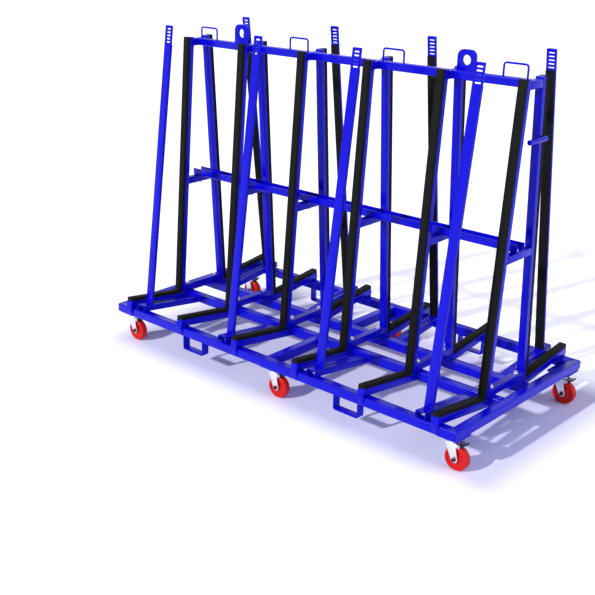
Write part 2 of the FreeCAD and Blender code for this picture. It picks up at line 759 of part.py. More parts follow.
def castor_bolt_places():
    half_span = s.castor_bolt_span / 2
    half_gauge = s.castor_bolt_gauge / 2
    return [(x, y) for x in (-half_span, half_span) for y in (-half_gauge, half_gauge)]


def make_castor_plates():
    """Plates welded under the base, and the castors' own plates with their ball races and kingpins."""
    holes = [
        hole("castor_bolt_hole", "castor_bolt_radius",
             "castor_plate_thickness + mount_plate_thickness + 2 * cut_overrun",
             at(x, y, castor_plate_bottom - s.cut_overrun))
        for x, y in castor_bolt_places()
    ]
    plate = box("castor_plate_blank", "castor_plate_length", "castor_plate_width", "castor_plate_thickness",
                at(-s.castor_plate_length / 2, -s.castor_plate_width / 2, castor_plate_bottom))
    race = cylinder("race", "race_radius", "race_height", at(z=race_bottom))
    head_top = crown_bottom - s.race_gap
    pin = cylinder("kingpin", "kingpin_radius", "race_height + cup_height + crown_thickness + 2 * race_gap",
                   at(z=head_top))
    pin_head = cylinder("kingpin_head", "kingpin_head_radius", "kingpin_head_height",
                        at(z=head_top - s.kingpin_head_height))
    flat = rounded(plate, s.plate_corner, Z_AXIS)
    castor_plate = cut("castor_plate", fuse("castor_plate_welded", flat, race, pin, pin_head), *holes)

    mount_y = half_width - s.mount_plate_inset - s.mount_plate_side / 2
    castor_y = half_width - s.castor_side_inset
    bolt = fuse(
        "castor_bolt",
        cylinder("castor_bolt_shank", "castor_bolt_radius", "castor_plate_thickness + mount_plate_thickness",
                 at(z=castor_plate_bottom)),
        hexagon("castor_bolt_head", "castor_bolt_radius",
                at(z=castor_plate_bottom - s.castor_bolt_radius * HEX_HEIGHT_SHARE)),
    )
    mount_plates = []
    castor_plates = []
    bolts = []
    for name, x, y in castor_places():
        outward = -1 if y < 0 else 1
        blank = box("mount_plate_blank", "mount_plate_side", "mount_plate_side", "mount_plate_thickness",
                    at(-s.mount_plate_side / 2, outward * (mount_y - castor_y) - s.mount_plate_side / 2,
                       mount_plate_bottom))
        mount_plate = cut("mount_plate", rounded(blank, s.plate_corner, Z_AXIS), *holes)
        mount_plates.append(copy("mount_plate_place", mount_plate, on_base(x, y)))
        castor_plates.append(copy("castor_plate_place", castor_plate, on_base(x, y)))
        bolts += [copy("castor_bolt_place", bolt, on_base(x + dx, y + dy)) for dx, dy in castor_bolt_places()]
    node("castor_mount_plates", group("castor_mount_plates", mount_plates))
    node("castor_plates", group("castor_plates", castor_plates))
    node("castor_bolts", group("castor_bolts", bolts))


def cross_pin(name, radius, length, x, z):
    """A cylinder across the castor, centred on its middle plane; length is an expression."""
    item = cylinder(name, radius, length, at())
    doc.recompute()
    item.Placement = at(x, -item.Height.Value / 2, z, ALONG_Y)
    return item


def make_wheel():
    """A moulded wheel with a rounded tread, dished sides and a hub."""
    tread = cross_pin("tread", "wheel_diameter / 2", "wheel_width", s.castor_trail, axle_level)
    tyre = fillet("tyre", tread, s.tread_edge, is_circle)
    dish = cut("dish", cross_pin("dish_outer", "rim_radius", "wheel_width + 2 * cut_overrun",
                                 s.castor_trail, axle_level),
               cross_pin("dish_web", "rim_radius + cut_overrun", "wheel_width - 2 * rim_recess",
                         s.castor_trail, axle_level))
    hub = cross_pin("hub", "hub_radius", "hub_width", s.castor_trail, axle_level)
    bore = cross_pin("hub_bore", "axle_radius + running_clearance", "hub_width + 2 * cut_overrun",
                     s.castor_trail, axle_level)
    return cut("wheel", fuse("wheel_blank", cut("wheel_dished", tyre, dish), hub), bore)


FORK_WIDTH = "(fork_gap + 2 * fork_thickness)"


def make_fork():
    """A pressed yoke with its ball cup, trailing legs and ears for the brake, its axle bolt and brake pin."""
    leg_turn = FreeCAD.Rotation(Y_AXIS, -math.degrees(math.atan2(s.castor_trail, crown_bottom - axle_level)))
    pieces = [
        box("crown", "crown_length", FORK_WIDTH, "crown_thickness",
            at(-s.crown_length / 2, -fork_half, crown_bottom)),
        cylinder("cup", "cup_radius", "cup_height", at(z=crown_top)),
    ]
    legs = []
    for y in (-fork_half, s.fork_gap / 2):
        legs.append(bound(
            "Part::Wedge", "leg",
            at(s.castor_trail, y + s.fork_thickness, axle_level, leg_turn * UPRIGHT_PLANE),
            Xmin="-fork_leg_width / 2", Xmax="fork_leg_width / 2",
            X2min="-fork_shoulder_width / 2", X2max="fork_shoulder_width / 2",
            Ymin="0", Ymax="wheel_diameter",
            Zmin="0", Zmax="fork_thickness", Z2min="0", Z2max="fork_thickness",
        ))
        pieces.append(cylinder("leg_end", "fork_leg_width / 2", "fork_thickness",
                               at(s.castor_trail, y, axle_level, ALONG_Y)))
        pieces.append(box("brake_ear", "pedal_pivot_reach", "fork_thickness", "2 * pedal_hub_radius",
                          at(0.0, y, pedal_level - s.pedal_hub_radius)))
        pieces.append(cylinder("brake_ear_end", "pedal_hub_radius", "fork_thickness",
                               at(s.pedal_pivot_reach, y, pedal_level, ALONG_Y)))
    above_crown = box("above_crown", "2 * wheel_diameter", "2 * wheel_diameter", "wheel_diameter",
                      at(-s.wheel_diameter, -s.wheel_diameter, crown_top))
    trimmed_legs = cut("trimmed_legs", group("leg_pair", legs), above_crown)
    holes = [
        cylinder("kingpin_bore", "kingpin_radius + running_clearance",
                 "crown_thickness + cup_height + 2 * cut_overrun", at(z=crown_bottom - s.cut_overrun)),
        cross_pin("axle_hole", "axle_radius + running_clearance", f"{FORK_WIDTH} + 2 * cut_overrun",
                  s.castor_trail, axle_level),
        cross_pin("brake_pin_hole", "pedal_pin_radius + running_clearance", f"{FORK_WIDTH} + 2 * cut_overrun",
                  s.pedal_pivot_reach, pedal_level),
    ]
    yoke = cut("yoke", fuse("yoke_blank", trimmed_legs, *pieces), *holes)
    head_depth = s.axle_radius * HEX_HEIGHT_SHARE
    axle = fuse(
        "axle",
        cross_pin("axle_shank", "axle_radius", FORK_WIDTH, s.castor_trail, axle_level),
        hexagon("axle_head", "axle_radius", at(s.castor_trail, -fork_half - head_depth, axle_level, ALONG_Y)),
        hexagon("axle_nut", "axle_radius", at(s.castor_trail, fork_half, axle_level, ALONG_Y)),
    )
    brake_pin = cross_pin("brake_pin", "pedal_pin_radius", FORK_WIDTH, s.pedal_pivot_reach, pedal_level)
    return group("fork", [yoke, axle, brake_pin])


def make_brake():
    """A foot pedal on a hub, with a lobe that turns down towards the tread."""
    hub = cross_pin("pedal_hub", "pedal_hub_radius", "pedal_hub_width", s.pedal_pivot_reach, pedal_level)
    tilt = at(s.pedal_pivot_reach, 0.0, pedal_level, FreeCAD.Rotation(Y_AXIS, -s.pedal_rise))
    tread = box("pedal_plate", "pedal_length", "pedal_width", "pedal_thickness",
                tilt * at(0.0, -s.pedal_width / 2, s.pedal_hub_radius - s.pedal_thickness))
    lip = cylinder("pedal_lip", "pedal_lip_radius", "pedal_width",
                   tilt * at(s.pedal_length, -s.pedal_width / 2, pedal_lip_level, ALONG_Y))
    lobe = cross_pin("brake_lobe", "brake_lobe_radius", "pedal_width",
                     s.pedal_pivot_reach + s.brake_lobe_reach, pedal_level - s.brake_lobe_drop)
    bore = cross_pin("pedal_bore", "pedal_pin_radius + running_clearance",
                     "pedal_hub_width + 2 * cut_overrun", s.pedal_pivot_reach, pedal_level)
    return cut("brake", fuse("brake_blank", hub, tread, lip, lobe), bore)


def make_castors():
    make_castor_plates()
    masters = (("fork", make_fork()), ("wheel", make_wheel()), ("brake", make_brake()))
    for name, x, y in castor_places():
        for piece, master in masters:
            node(f"castor_{piece}_{name}", copy(f"castor_{piece}", master, on_base(x, y)))


def make_frame_bolts():
    """Bolts that hold the A-frames down on the inner rails, and the channel on the frames' middle bars."""
    nut_height = s.frame_bolt_radius * HEX_HEIGHT_SHARE
    foot_top = rail_top + s.foot_bar_height
    foot_bolt = fuse(
        "foot_bolt",
        cylinder("foot_bolt_shank", "frame_bolt_radius", "rail_size + foot_bar_height", at(z=rail_bottom)),
        hexagon("foot_bolt_head", "frame_bolt_radius", at(z=foot_top)),
        hexagon("foot_bolt_nut", "frame_bolt_radius", at(z=rail_bottom - nut_height)),
    )
    foot_bolts = [copy("foot_bolt_place", foot_bolt, on_base(x, y)) for x, y in frame_bolt_places()]
    node("frame_bolts", group("frame_bolts", foot_bolts))

    mid_bar_bottom = rail_top + s.mid_bar_level
    mid_nut_height = s.rail_bolt_radius * HEX_HEIGHT_SHARE
    mid_bolt = fuse(
        "mid_bolt",
        cylinder("mid_bolt_shank", "rail_bolt_radius", "mid_bar_height + mid_rail_wall",
                 at(z=mid_bar_bottom)),
        hexagon("mid_bolt_head", "rail_bolt_radius", at(z=mid_bar_top + s.mid_rail_wall)),
        hexagon("mid_bolt_nut", "rail_bolt_radius", at(z=mid_bar_bottom - mid_nut_height)),
    )
    mid_bolts = [copy("mid_bolt_place", mid_bolt, on_base(x)) for x in frame_places]
    node("mid_rail_bolts", group("mid_rail_bolts", mid_bolts))


def check_document():
    """Stop if any object failed or any sub-part has no valid shape."""
    for item in doc.Objects:
        if "Invalid" in item.State or "Error" in item.State:
            raise RuntimeError(f"{item.Label} failed: {item.State}")
    for item in nodes:
        if item.Shape.isNull() or not item.Shape.isValid() or not item.Shape.Solids:
            raise RuntimeError(f"{item.Label} has no valid solid")


def write_parts():
    os.makedirs("parts", exist_ok=True)
    for item in nodes:
        item.Shape.exportStep(os.path.join("parts", f"{item.Label}.step"))
        print(item.Label, len(item.Shape.Solids), round(item.Shape.Volume))


make_base()
make_fork_pockets()
make_frames()
make_joining_rails()
make_ledges()
make_racks()
make_poles()
make_lifting_eyes()
make_handles()
make_strap_peg()
make_frame_bolts()
make_castors()
doc.recompute()
check_document()
write_parts()
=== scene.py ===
"""Dress the glazing trolley: powder-coated tube with weld seams, rubber, castors and fasteners.

Lengths are in metres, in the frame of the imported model: +X along the trolley, +Z up, and the
origin on the floor.
"""
import math

import bmesh
import bpy
from bpy.props import FloatProperty, FloatVectorProperty, IntProperty, PointerProperty
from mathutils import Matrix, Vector
from mathutils.bvhtree import BVHTree


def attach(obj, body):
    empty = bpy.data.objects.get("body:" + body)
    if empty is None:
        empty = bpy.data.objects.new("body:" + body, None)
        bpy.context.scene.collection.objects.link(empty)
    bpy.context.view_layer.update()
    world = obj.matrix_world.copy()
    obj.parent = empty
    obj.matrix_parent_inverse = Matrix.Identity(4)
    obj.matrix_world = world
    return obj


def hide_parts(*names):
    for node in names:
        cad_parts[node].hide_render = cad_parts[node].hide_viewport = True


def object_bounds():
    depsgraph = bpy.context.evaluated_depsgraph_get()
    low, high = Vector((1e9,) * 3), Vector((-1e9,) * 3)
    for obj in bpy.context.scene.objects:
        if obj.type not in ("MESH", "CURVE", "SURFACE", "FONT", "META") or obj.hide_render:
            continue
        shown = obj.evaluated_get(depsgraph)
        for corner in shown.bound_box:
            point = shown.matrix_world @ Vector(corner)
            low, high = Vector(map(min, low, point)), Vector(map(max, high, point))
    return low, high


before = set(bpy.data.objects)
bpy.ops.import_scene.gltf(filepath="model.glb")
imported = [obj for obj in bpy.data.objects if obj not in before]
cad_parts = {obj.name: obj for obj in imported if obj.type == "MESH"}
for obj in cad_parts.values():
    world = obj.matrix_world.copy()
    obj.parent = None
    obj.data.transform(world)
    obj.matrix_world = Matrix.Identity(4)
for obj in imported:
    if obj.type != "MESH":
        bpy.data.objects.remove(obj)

bl_info = {
    "name": "Glazing Trolley Finish",
    "version": (1, 0, 0),
    "blender": (4, 5, 0),
    "location": "View3D > Sidebar > Trolley",
    "description": "Finishes, weld seams, rubber, castors and fasteners for a glazing trolley",
    "category": "Object",
}

CAD_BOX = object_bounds()
MM = 0.001

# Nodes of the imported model, or what their names end with
CASTORS = ("front_left", "front_middle", "front_right", "rear_left", "rear_middle", "rear_right")
POLES = tuple(f"{side}_{number}" for side in ("front", "rear") for number in range(1, 5))
FRAMES = tuple(f"a_frame_{number}" for number in range(1, 7))
BASE_STEEL = ("front_rail", "rear_rail", "end_rails", "inner_rails", "cross_tubes",
              "castor_mount_plates", "ledge_tubes", "pole_racks", "fork_pocket_straps")
UPPER_STEEL = FRAMES + ("top_rail", "mid_rail", "lifting_eyes", "rail_handles", "strap_peg")
RUBBER = ("upright_rubbers", "ledge_rubbers")


def linear(code):
    """An sRGB hex colour as linear red, green and blue."""
    channels = [int(code[i:i + 2], 16) / 255 for i in (1, 3, 5)]
    return tuple(c / 12.92 if c <= 0.04045 else ((c + 0.055) / 1.055) ** 2.4 for c in channels)


def length(name, description, default):
    """A setting in metres."""
    return FloatProperty(name=name, description=description, default=default, unit="LENGTH",
                         precision=4)


def share(name, description, default):
    """A setting from 0 to 1."""
    return FloatProperty(name=name, description=description, default=default, min=0.0, max=1.0,
                         subtype="FACTOR")


def power(name, description, default):
    """The strength of a light."""
    return FloatProperty(name=name, description=description, default=default, min=0.0)


def colour(name, description, code):
    """A colour, given as an sRGB hex code."""
    return FloatVectorProperty(name=name, description=description, subtype="COLOR", size=3,
                               min=0.0, max=1.0, default=linear(code))


class FinishSettings(bpy.types.PropertyGroup):
    """Colours of the trolley's finishes."""
    blue: colour("Powder coat", "Ultramarine powder coat on all the welded steel", "#0705b8")
    rubber: colour("Rubber", "Black rubber that the glass touches", "#0d0d0c")
    zinc: colour("Zinc plate", "Bright zinc plate on castors and bolts", "#e4e8ef")
    # Dark zinc is the real colour of the axle bolts and brake pins; on the brakes the same colour
    # is painted shade
    dark_zinc_and_brake_shade: colour("Dark zinc", "Dark passivated zinc on axle bolts, brake pins and pedals",
                      "#3a3a40")
    polyurethane: colour("Polyurethane", "Red polyurethane of the wheels", "#c00d09")
    # The floor's lilac tint is painted shade and blue bounce, which shows next to the trolley where
    # the lift does not whiten it
    floor: colour("Floor", "Pale studio floor", "#e4e3f5")


class DetailSettings(bpy.types.PropertyGroup):
    """Sizes of what is added to the plain solids."""
    steel_edge: length("Steel edge", "Radius on the cut edges of steel", 0.8 * MM)
    rubber_edge: length("Rubber edge", "Radius on the edges of rubber", 2.2 * MM)
    pressing_edge: length("Pressing edge", "Radius on the edges of castor pressings", 1.2 * MM)
    edge_steps: IntProperty(name="Edge steps", description="Steps in a rounded edge", default=3,
                            min=1)
    bead: length("Weld bead", "Radius of a weld seam's round", 2.4 * MM)
    ripple: length("Weld ripple", "Distance from one ripple of a weld seam to the next", 6.0 * MM)
    ripple_swell: share("Ripple swell", "How far a ripple swells, as a share of the bead", 0.08)


class StageSettings(bpy.types.PropertyGroup):
    """Light and floor."""
    sun_power: power("Sun", "Strength of the key light", 3.1)
    sun_spread: FloatProperty(name="Sun spread", description="Angle that the key light fills",
                              default=math.radians(2.5), subtype="ANGLE")
    sky_left: power("Sky left", "Strength of the fill from the left", 0.05)
    sky_right: power("Sky right", "Strength of the fill from the right", 2.0)
    sky_tint: colour("Sky tint", "Colour of the fill, which the shadows take", "#e2e2ff")
    floor_lift: share("Floor lift",
                      "Light added to the floor round the trolley, which makes it white", 0.5)


def put(tree, kind, inputs=None, **settings):
    """Add a node with its settings and links.

    Inputs maps the name or number of a socket to a value, another node's socket or a list of
    sockets.
    """
    node = tree.nodes.new(kind)
    for name, value in settings.items():
        setattr(node, name, value)
    for key, value in (inputs or {}).items():
        for source in value if isinstance(value, list) else [value]:
            if isinstance(source, bpy.types.NodeSocket):
                tree.links.new(source, node.inputs[key])
            else:
                node.inputs[key].default_value = source
    return node


def opaque(rgb, factor=1.0):
    """A colour, made lighter or darker by a factor, with full alpha."""
    return tuple(channel * factor for channel in rgb) + (1.0,)


SHADER = "Principled BSDF"
PATCH_DETAIL = 3.0
# Face attribute that marks dark zinc on axle bolts and brake pins, and the painted shade on the
# brakes
DARK_ZINC_AND_SHADE_MARK = "passivated"


def new_material(name, values):
    """A material with plain values set on its shader; returns it with its tree and shader."""
    material = bpy.data.materials.new(name)
    material.use_nodes = True
    tree = material.node_tree
    shader = tree.nodes[SHADER]
    for socket, value in values.items():
        shader.inputs[socket].default_value = value
    return material, tree, shader


def patterned_material(name, rgb, values, patch, spread, roughness, grain, detail, height,
                       strength):
    """A material that varies a little over its surface.

    Its colour changes by a spread from patch to patch, and its roughness between two values with
    it. A finer grain raises the surface. Patch, grain and height are lengths.
    """
    material, tree, shader = new_material(name, values)
    place = put(tree, "ShaderNodeTexCoord").outputs["Object"]
    cloud = put(tree, "ShaderNodeTexNoise",
                {"Vector": place, "Scale": 1.0 / patch, "Detail": PATCH_DETAIL}).outputs["Fac"]
    tone = put(tree, "ShaderNodeMix", {"Factor": cloud, "A": opaque(rgb, 1.0 - spread),
                                       "B": opaque(rgb, 1.0 + spread)}, data_type="RGBA")
    sheen = put(tree, "ShaderNodeMapRange",
                {"Value": cloud, "To Min": roughness[0], "To Max": roughness[1]})
    fine = put(tree, "ShaderNodeTexNoise",
               {"Vector": place, "Scale": 1.0 / grain, "Detail": detail})
    bump = put(tree, "ShaderNodeBump",
               {"Height": fine.outputs["Fac"], "Distance": height, "Strength": strength})
    tree.links.new(tone.outputs["Result"], shader.inputs["Base Color"])
    tree.links.new(sheen.outputs["Result"], shader.inputs["Roughness"])
    tree.links.new(bump.outputs["Normal"], shader.inputs["Normal"])
    return material


def powder_coat():
    """Baked polyester powder: full colour, a high gloss and a faint orange peel."""
    # Real orange peel is about 2 mm across; drawn at 5 mm, so that it shows
    return patterned_material(
        "polyester_powder_coat", bpy.context.scene.trolley_finish.blue,
        {"Metallic": 0.0, "Specular IOR Level": 0.17}, patch=180 * MM, spread=0.05,
        roughness=(0.2, 0.3), grain=5 * MM, detail=1.5, height=0.12 * MM, strength=0.3)


def black_rubber():
    """Extruded rubber: almost black, dull, with a fine grain and a little dust."""
    return patterned_material(
        "extruded_rubber", bpy.context.scene.trolley_finish.rubber,
        {"Metallic": 0.0, "Specular IOR Level": 0.12}, patch=60 * MM, spread=0.3,
        roughness=(0.6, 0.85), grain=3 * MM, detail=4.0, height=0.3 * MM, strength=0.5)


def zinc_plate():
    """Zinc on pressed steel: pale, soft, patchy reflections, and dark zinc on axle bolts and brake
    pins, whose dark colour is also laid on the brakes as painted shade.
    """
    finishes = bpy.context.scene.trolley_finish
    material = patterned_material(
        "zinc_plate", finishes.zinc, {"Metallic": 1.0}, patch=14 * MM, spread=0.05,
        roughness=(0.25, 0.45), grain=2 * MM, detail=2.0, height=0.1 * MM, strength=0.3)
    tree = material.node_tree
    base = tree.nodes[SHADER].inputs["Base Color"]
    dark = put(tree, "ShaderNodeAttribute", attribute_name=DARK_ZINC_AND_SHADE_MARK)
    tone = put(tree, "ShaderNodeMix", {
        "Factor": dark.outputs["Fac"], "A": base.links[0].from_socket,
        "B": opaque(finishes.dark_zinc_and_brake_shade)}, data_type="RGBA")
    tree.links.new(tone.outputs["Result"], base)
    return material


def red_polyurethane():
    """Moulded polyurethane: deep red with a half-gloss skin and faint flow marks."""
    return patterned_material(
        "moulded_polyurethane", bpy.context.scene.trolley_finish.polyurethane,
        {"Metallic": 0.0, "Specular IOR Level": 0.25}, patch=25 * MM, spread=0.06,
        roughness=(0.3, 0.45), grain=4 * MM, detail=2.0, height=0.15 * MM, strength=0.3)


FINISHES = {
    "blue_powder_coat": powder_coat,
    "black_rubber": black_rubber,
    "zinc_plated_steel": zinc_plate,
    "red_polyurethane": red_polyurethane,
}
made_finishes = {}


def finish(slot):
    """The material of one of the record's slots, made once."""
    if slot not in made_finishes:
        made_finishes[slot] = FINISHES[slot]()
    return made_finishes[slot]


MERGE_DISTANCE = 0.005 * MM
FLAT_ANGLE = math.radians(0.5)
SHARP_ANGLE = math.radians(35.0)


def joined_mesh(node):
    """A node's mesh as a bmesh, with its loose triangles joined and its flat faces made whole."""
    bm = bmesh.new()
    bm.from_mesh(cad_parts[node].data)
    bmesh.ops.remove_doubles(bm, verts=bm.verts[:], dist=MERGE_DISTANCE)
    bmesh.ops.dissolve_limit(bm, angle_limit=FLAT_ANGLE, verts=bm.verts[:], edges=bm.edges[:])
    return bm


def add_piece(name, mesh, body, slot, *nodes):
    """Place a finished mesh in the scene on its body, standing for the nodes named."""
    piece = bpy.data.objects.new(name, mesh)
    bpy.context.scene.collection.objects.link(piece)
    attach(piece, body)
    if nodes:
        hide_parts(*nodes)


def plain_mesh(piece, name):
    """Turn an object's modifiers into a plain mesh, remove the object and return the mesh."""
    graph = bpy.context.evaluated_depsgraph_get()
    mesh = bpy.data.meshes.new_from_object(piece.evaluated_get(graph), depsgraph=graph)
    mesh.name = name
    old = piece.data
    bpy.data.objects.remove(piece)
    bpy.data.meshes.remove(old)
    return mesh


def shade(mesh):
    """Shade a mesh smooth between its sharp edges."""
    mesh.polygons.foreach_set("use_smooth", [True] * len(mesh.polygons))
    mesh.set_sharp_from_angle(angle=SHARP_ANGLE)


def rounded_copy(node, edge, body, slot, dark=None):
    """Add a copy of a node with its sharp edges rounded, which stands for it.

    Dark picks, out of its solids, those in the dark zinc colour, which is real on bolts and pins
    and painted shade on brakes.
    """
    bm = joined_mesh(node)
    if dark:
        mark = bm.faces.layers.float.new(DARK_ZINC_AND_SHADE_MARK)
        for solid in dark(split_solids(bm)):
            for face in solid.faces:
                face[mark] = 1.0
    mesh = bpy.data.meshes.new(f"{node}_blank")
    bm.to_mesh(mesh)
    bm.free()
    blank = bpy.data.objects.new(f"{node}_blank", mesh)
    bpy.context.scene.collection.objects.link(blank)
    bevel = blank.modifiers.new("edge", "BEVEL")
    bevel.width = edge
    bevel.segments = bpy.context.scene.trolley_detail.edge_steps
    bevel.limit_method = "ANGLE"
    bevel.angle_limit = SHARP_ANGLE
    rounded = plain_mesh(blank, f"{node}_finish")
    rounded.materials.clear()
    rounded.materials.append(finish(slot))
    shade(rounded)
    add_piece(f"{node}_finish", rounded, body, slot, node)


def new_group(name, **kinds):
    """A geometry tree with named inputs; returns it and the sockets of those inputs by name."""
    tree = bpy.data.node_groups.new(name, "GeometryNodeTree")
    tree.interface.new_socket("Geometry", in_out="OUTPUT", socket_type="NodeSocketGeometry")
    for label, kind in {"Geometry": "Geometry", **kinds, "Material": "Material"}.items():
        tree.interface.new_socket(label, in_out="INPUT", socket_type=f"NodeSocket{kind}")
    return tree, put(tree, "NodeGroupInput").outputs


def end_group(tree, geometry, material):
    """Finish a geometry tree: plain geometry in one material."""
    plain = put(tree, "GeometryNodeRealizeInstances", {"Geometry": geometry})
    finished = put(tree, "GeometryNodeSetMaterial",
                   {"Geometry": plain.outputs[0], "Material": material})
    put(tree, "NodeGroupOutput", {0: finished.outputs[0]})
    return tree


def edge_mesh(name, points):
    """A mesh of separate edges, one for each pair of points."""
    mesh = bpy.data.meshes.new(name)
    mesh.from_pydata(points, [(i, i + 1) for i in range(0, len(points), 2)], [])
    return mesh


def grown_mesh(name, seed, tree, **values):
    """Run a geometry tree on a mesh with its named inputs set, and return the plain mesh."""
    piece = bpy.data.objects.new(f"{name}_seed", seed)
    bpy.context.scene.collection.objects.link(piece)
    grow = piece.modifiers.new("grow", "NODES")
    grow.node_group = tree
    for item in tree.interface.items_tree:
        if item.in_out == "INPUT" and item.name in values:
            grow[item.identifier] = values[item.name]
    mesh = plain_mesh(piece, name)
    shade(mesh)
    return mesh


# Points along one ripple of a weld bead, and sides of the bead
RIPPLE_POINTS = 4.0
BEAD_SIDES = 8
FULL_TURN = 2.0 * math.pi


def seam_tree():
    """Sweeps a rippled weld bead along a mesh's edges."""
    tree, given = new_group("weld_seam", Bead="Float", Ripple="Float", Swell="Float")
    edges = put(tree, "GeometryNodeMeshToCurve", {"Mesh": given["Geometry"]})
    step = put(tree, "ShaderNodeMath", {0: given["Ripple"], 1: RIPPLE_POINTS}, operation="DIVIDE")
    path = put(tree, "GeometryNodeResampleCurve",
               {"Curve": edges.outputs[0], "Length": step.outputs[0]}, mode="LENGTH")
    along = put(tree, "GeometryNodeSplineParameter")
    ripples = put(tree, "ShaderNodeMath", {0: along.outputs["Length"], 1: given["Ripple"]},
                  operation="DIVIDE")
    turn = put(tree, "ShaderNodeMath", {0: ripples.outputs[0], 1: FULL_TURN}, operation="MULTIPLY")
    wave = put(tree, "ShaderNodeMath", {0: turn.outputs[0]}, operation="SINE")
    swell = put(tree, "ShaderNodeMath", {0: wave.outputs[0], 1: given["Swell"], 2: 1.0},
                operation="MULTIPLY_ADD")
    radius = put(tree, "ShaderNodeMath", {0: swell.outputs[0], 1: given["Bead"]},
                 operation="MULTIPLY")
    profile = put(tree, "GeometryNodeCurvePrimitiveCircle",
                  {"Resolution": BEAD_SIDES, "Radius": 1.0})
    bead = put(tree, "GeometryNodeCurveToMesh", {
        "Curve": path.outputs[0], "Profile Curve": profile.outputs[0], "Scale": radius.outputs[0],
        "Fill Caps": True})
    return end_group(tree, bead.outputs[0], given["Material"])


# Each welded node, with the nodes that its edges are welded to
SEAMS = {
    "ledge_tubes": ("inner_rails", "front_rail", "rear_rail", "ledge_tubes"),
    "pole_racks": ("inner_rails",),
    "cross_tubes": ("front_rail", "rear_rail", "inner_rails"),
    "inner_rails": ("end_rails",),
    "fork_pocket_straps": ("front_rail", "rear_rail"),
    "top_rail": (FRAMES[0], FRAMES[-1]),
    "lifting_eyes": ("top_rail",),
    "rail_handles": ("top_rail",),
    **{node: (node, "top_rail") for node in FRAMES},
}
# How near an edge lies to what it is welded to, the steps it is tested in, and how near the ends
# of two seams are joined
TOUCH = 0.15 * MM
SEAM_STEP = 5.0 * MM
SEAM_JOIN = 0.3 * MM


class Solid:
    """One of a node's solids: its faces, its surface for finding the nearest point, and its box."""

    def __init__(self, faces):
        self.faces = faces
        corners = [vert.co.copy() for face in faces for vert in face.verts]
        numbers = iter(range(len(corners)))
        polygons = [[next(numbers) for _ in face.verts] for face in faces]
        self.surface = BVHTree.FromPolygons(corners, polygons)
        self.low = Vector(map(min, zip(*corners)))
        self.high = Vector(map(max, zip(*corners)))
        self.middle = (self.low + self.high) / 2

    def may_touch(self, start, end):
        """Whether the box round a line meets the solid's own."""
        return all(min(a, b) < high + TOUCH and max(a, b) > low - TOUCH
                   for a, b, low, high in zip(start, end, self.low, self.high))


def split_solids(bm):
    """The separate solids of a mesh."""
    seen = set()
    solids = []
    for first in bm.faces:
        if first in seen:
            continue
        seen.add(first)
        faces = [first]
        # The list grows while it is walked
        for face in faces:
            near = [other for edge in face.edges for other in edge.link_faces
                    if other not in seen]
            seen.update(near)
            faces.extend(dict.fromkeys(near))
        solids.append(Solid(faces))
    return solids


def outer_seam(edge, solid, other):
    """The runs of a solid's edge that lie on another solid, as pairs of points.

    An edge of a bore has none: its free face looks towards the solid's middle.
    """
    start, end = (vert.co for vert in edge.verts)
    if not other.may_touch(start, end):
        return []
    steps = max(1, math.ceil((end - start).length / SEAM_STEP))
    points = [start.lerp(end, i / steps) for i in range(steps + 1)]
    touches = [other.surface.find_nearest(point, TOUCH)[0] is not None for point in points]
    pairs = zip(points, points[1:])
    runs = [pair for pair, a, b in zip(pairs, touches, touches[1:]) if a and b]
    if not runs:
        return []
    normal = other.surface.find_nearest(runs[0][0])[1]
    side = min(edge.link_faces, key=lambda face: abs(face.normal.dot(normal)))
    return runs if side.normal.dot(runs[0][0] - solid.middle) > 0.0 else []


def seam_mesh():
    """All the welded edges, as a mesh of edges."""
    meshes = {node: joined_mesh(node) for node in sorted(set(SEAMS).union(*SEAMS.values()))}
    solids = {node: split_solids(bm) for node, bm in meshes.items()}
    runs = []
    for node, others in SEAMS.items():
        for solid in solids[node]:
            edges = dict.fromkeys(edge for face in solid.faces for edge in face.edges
                                  if len(edge.link_faces) == 2)
            against = [other for name in others for other in solids[name] if other is not solid]
            for edge in edges:
                for other in against:
                    runs += outer_seam(edge, solid, other)
    mesh = edge_mesh("weld_seams_seed", [point for run in runs for point in run])
    bm = bmesh.new()
    bm.from_mesh(mesh)
    bmesh.ops.remove_doubles(bm, verts=bm.verts[:], dist=SEAM_JOIN)
    bm.to_mesh(mesh)
    for used in [bm, *meshes.values()]:
        used.free()
    return mesh


class TROLLEY_OT_weld_seams(bpy.types.Operator):
    """Lay weld beads where tubes, plates and bars meet"""
    bl_idname = "trolley.weld_seams"
    bl_label = "Weld seams"

    def execute(self, context):
        detail = context.scene.trolley_detail
        mesh = grown_mesh("weld_seams", seam_mesh(), seam_tree(), Bead=detail.bead,
                          Ripple=detail.ripple, Swell=detail.ripple_swell,
                          Material=finish("blue_powder_coat"))
        add_piece("weld_seams", mesh, "base", "blue_powder_coat")
        return {"FINISHED"}


class TROLLEY_OT_base_steel(bpy.types.Operator):
    """Coat the base, its ledges, racks and fork pockets"""
    bl_idname = "trolley.base_steel"
    bl_label = "Base steel"

    def execute(self, context):
        edge = context.scene.trolley_detail.steel_edge
        for node in BASE_STEEL:
            rounded_copy(node, edge, "base", "blue_powder_coat")
        return {"FINISHED"}


class TROLLEY_OT_upper_steel(bpy.types.Operator):
    """Coat the A-frames, the rails that join them and what is welded to those"""
    bl_idname = "trolley.upper_steel"
    bl_label = "A-frames and rails"

    def execute(self, context):
        edge = context.scene.trolley_detail.steel_edge
        for node in UPPER_STEEL:
            rounded_copy(node, edge, "base", "blue_powder_coat")
        return {"FINISHED"}


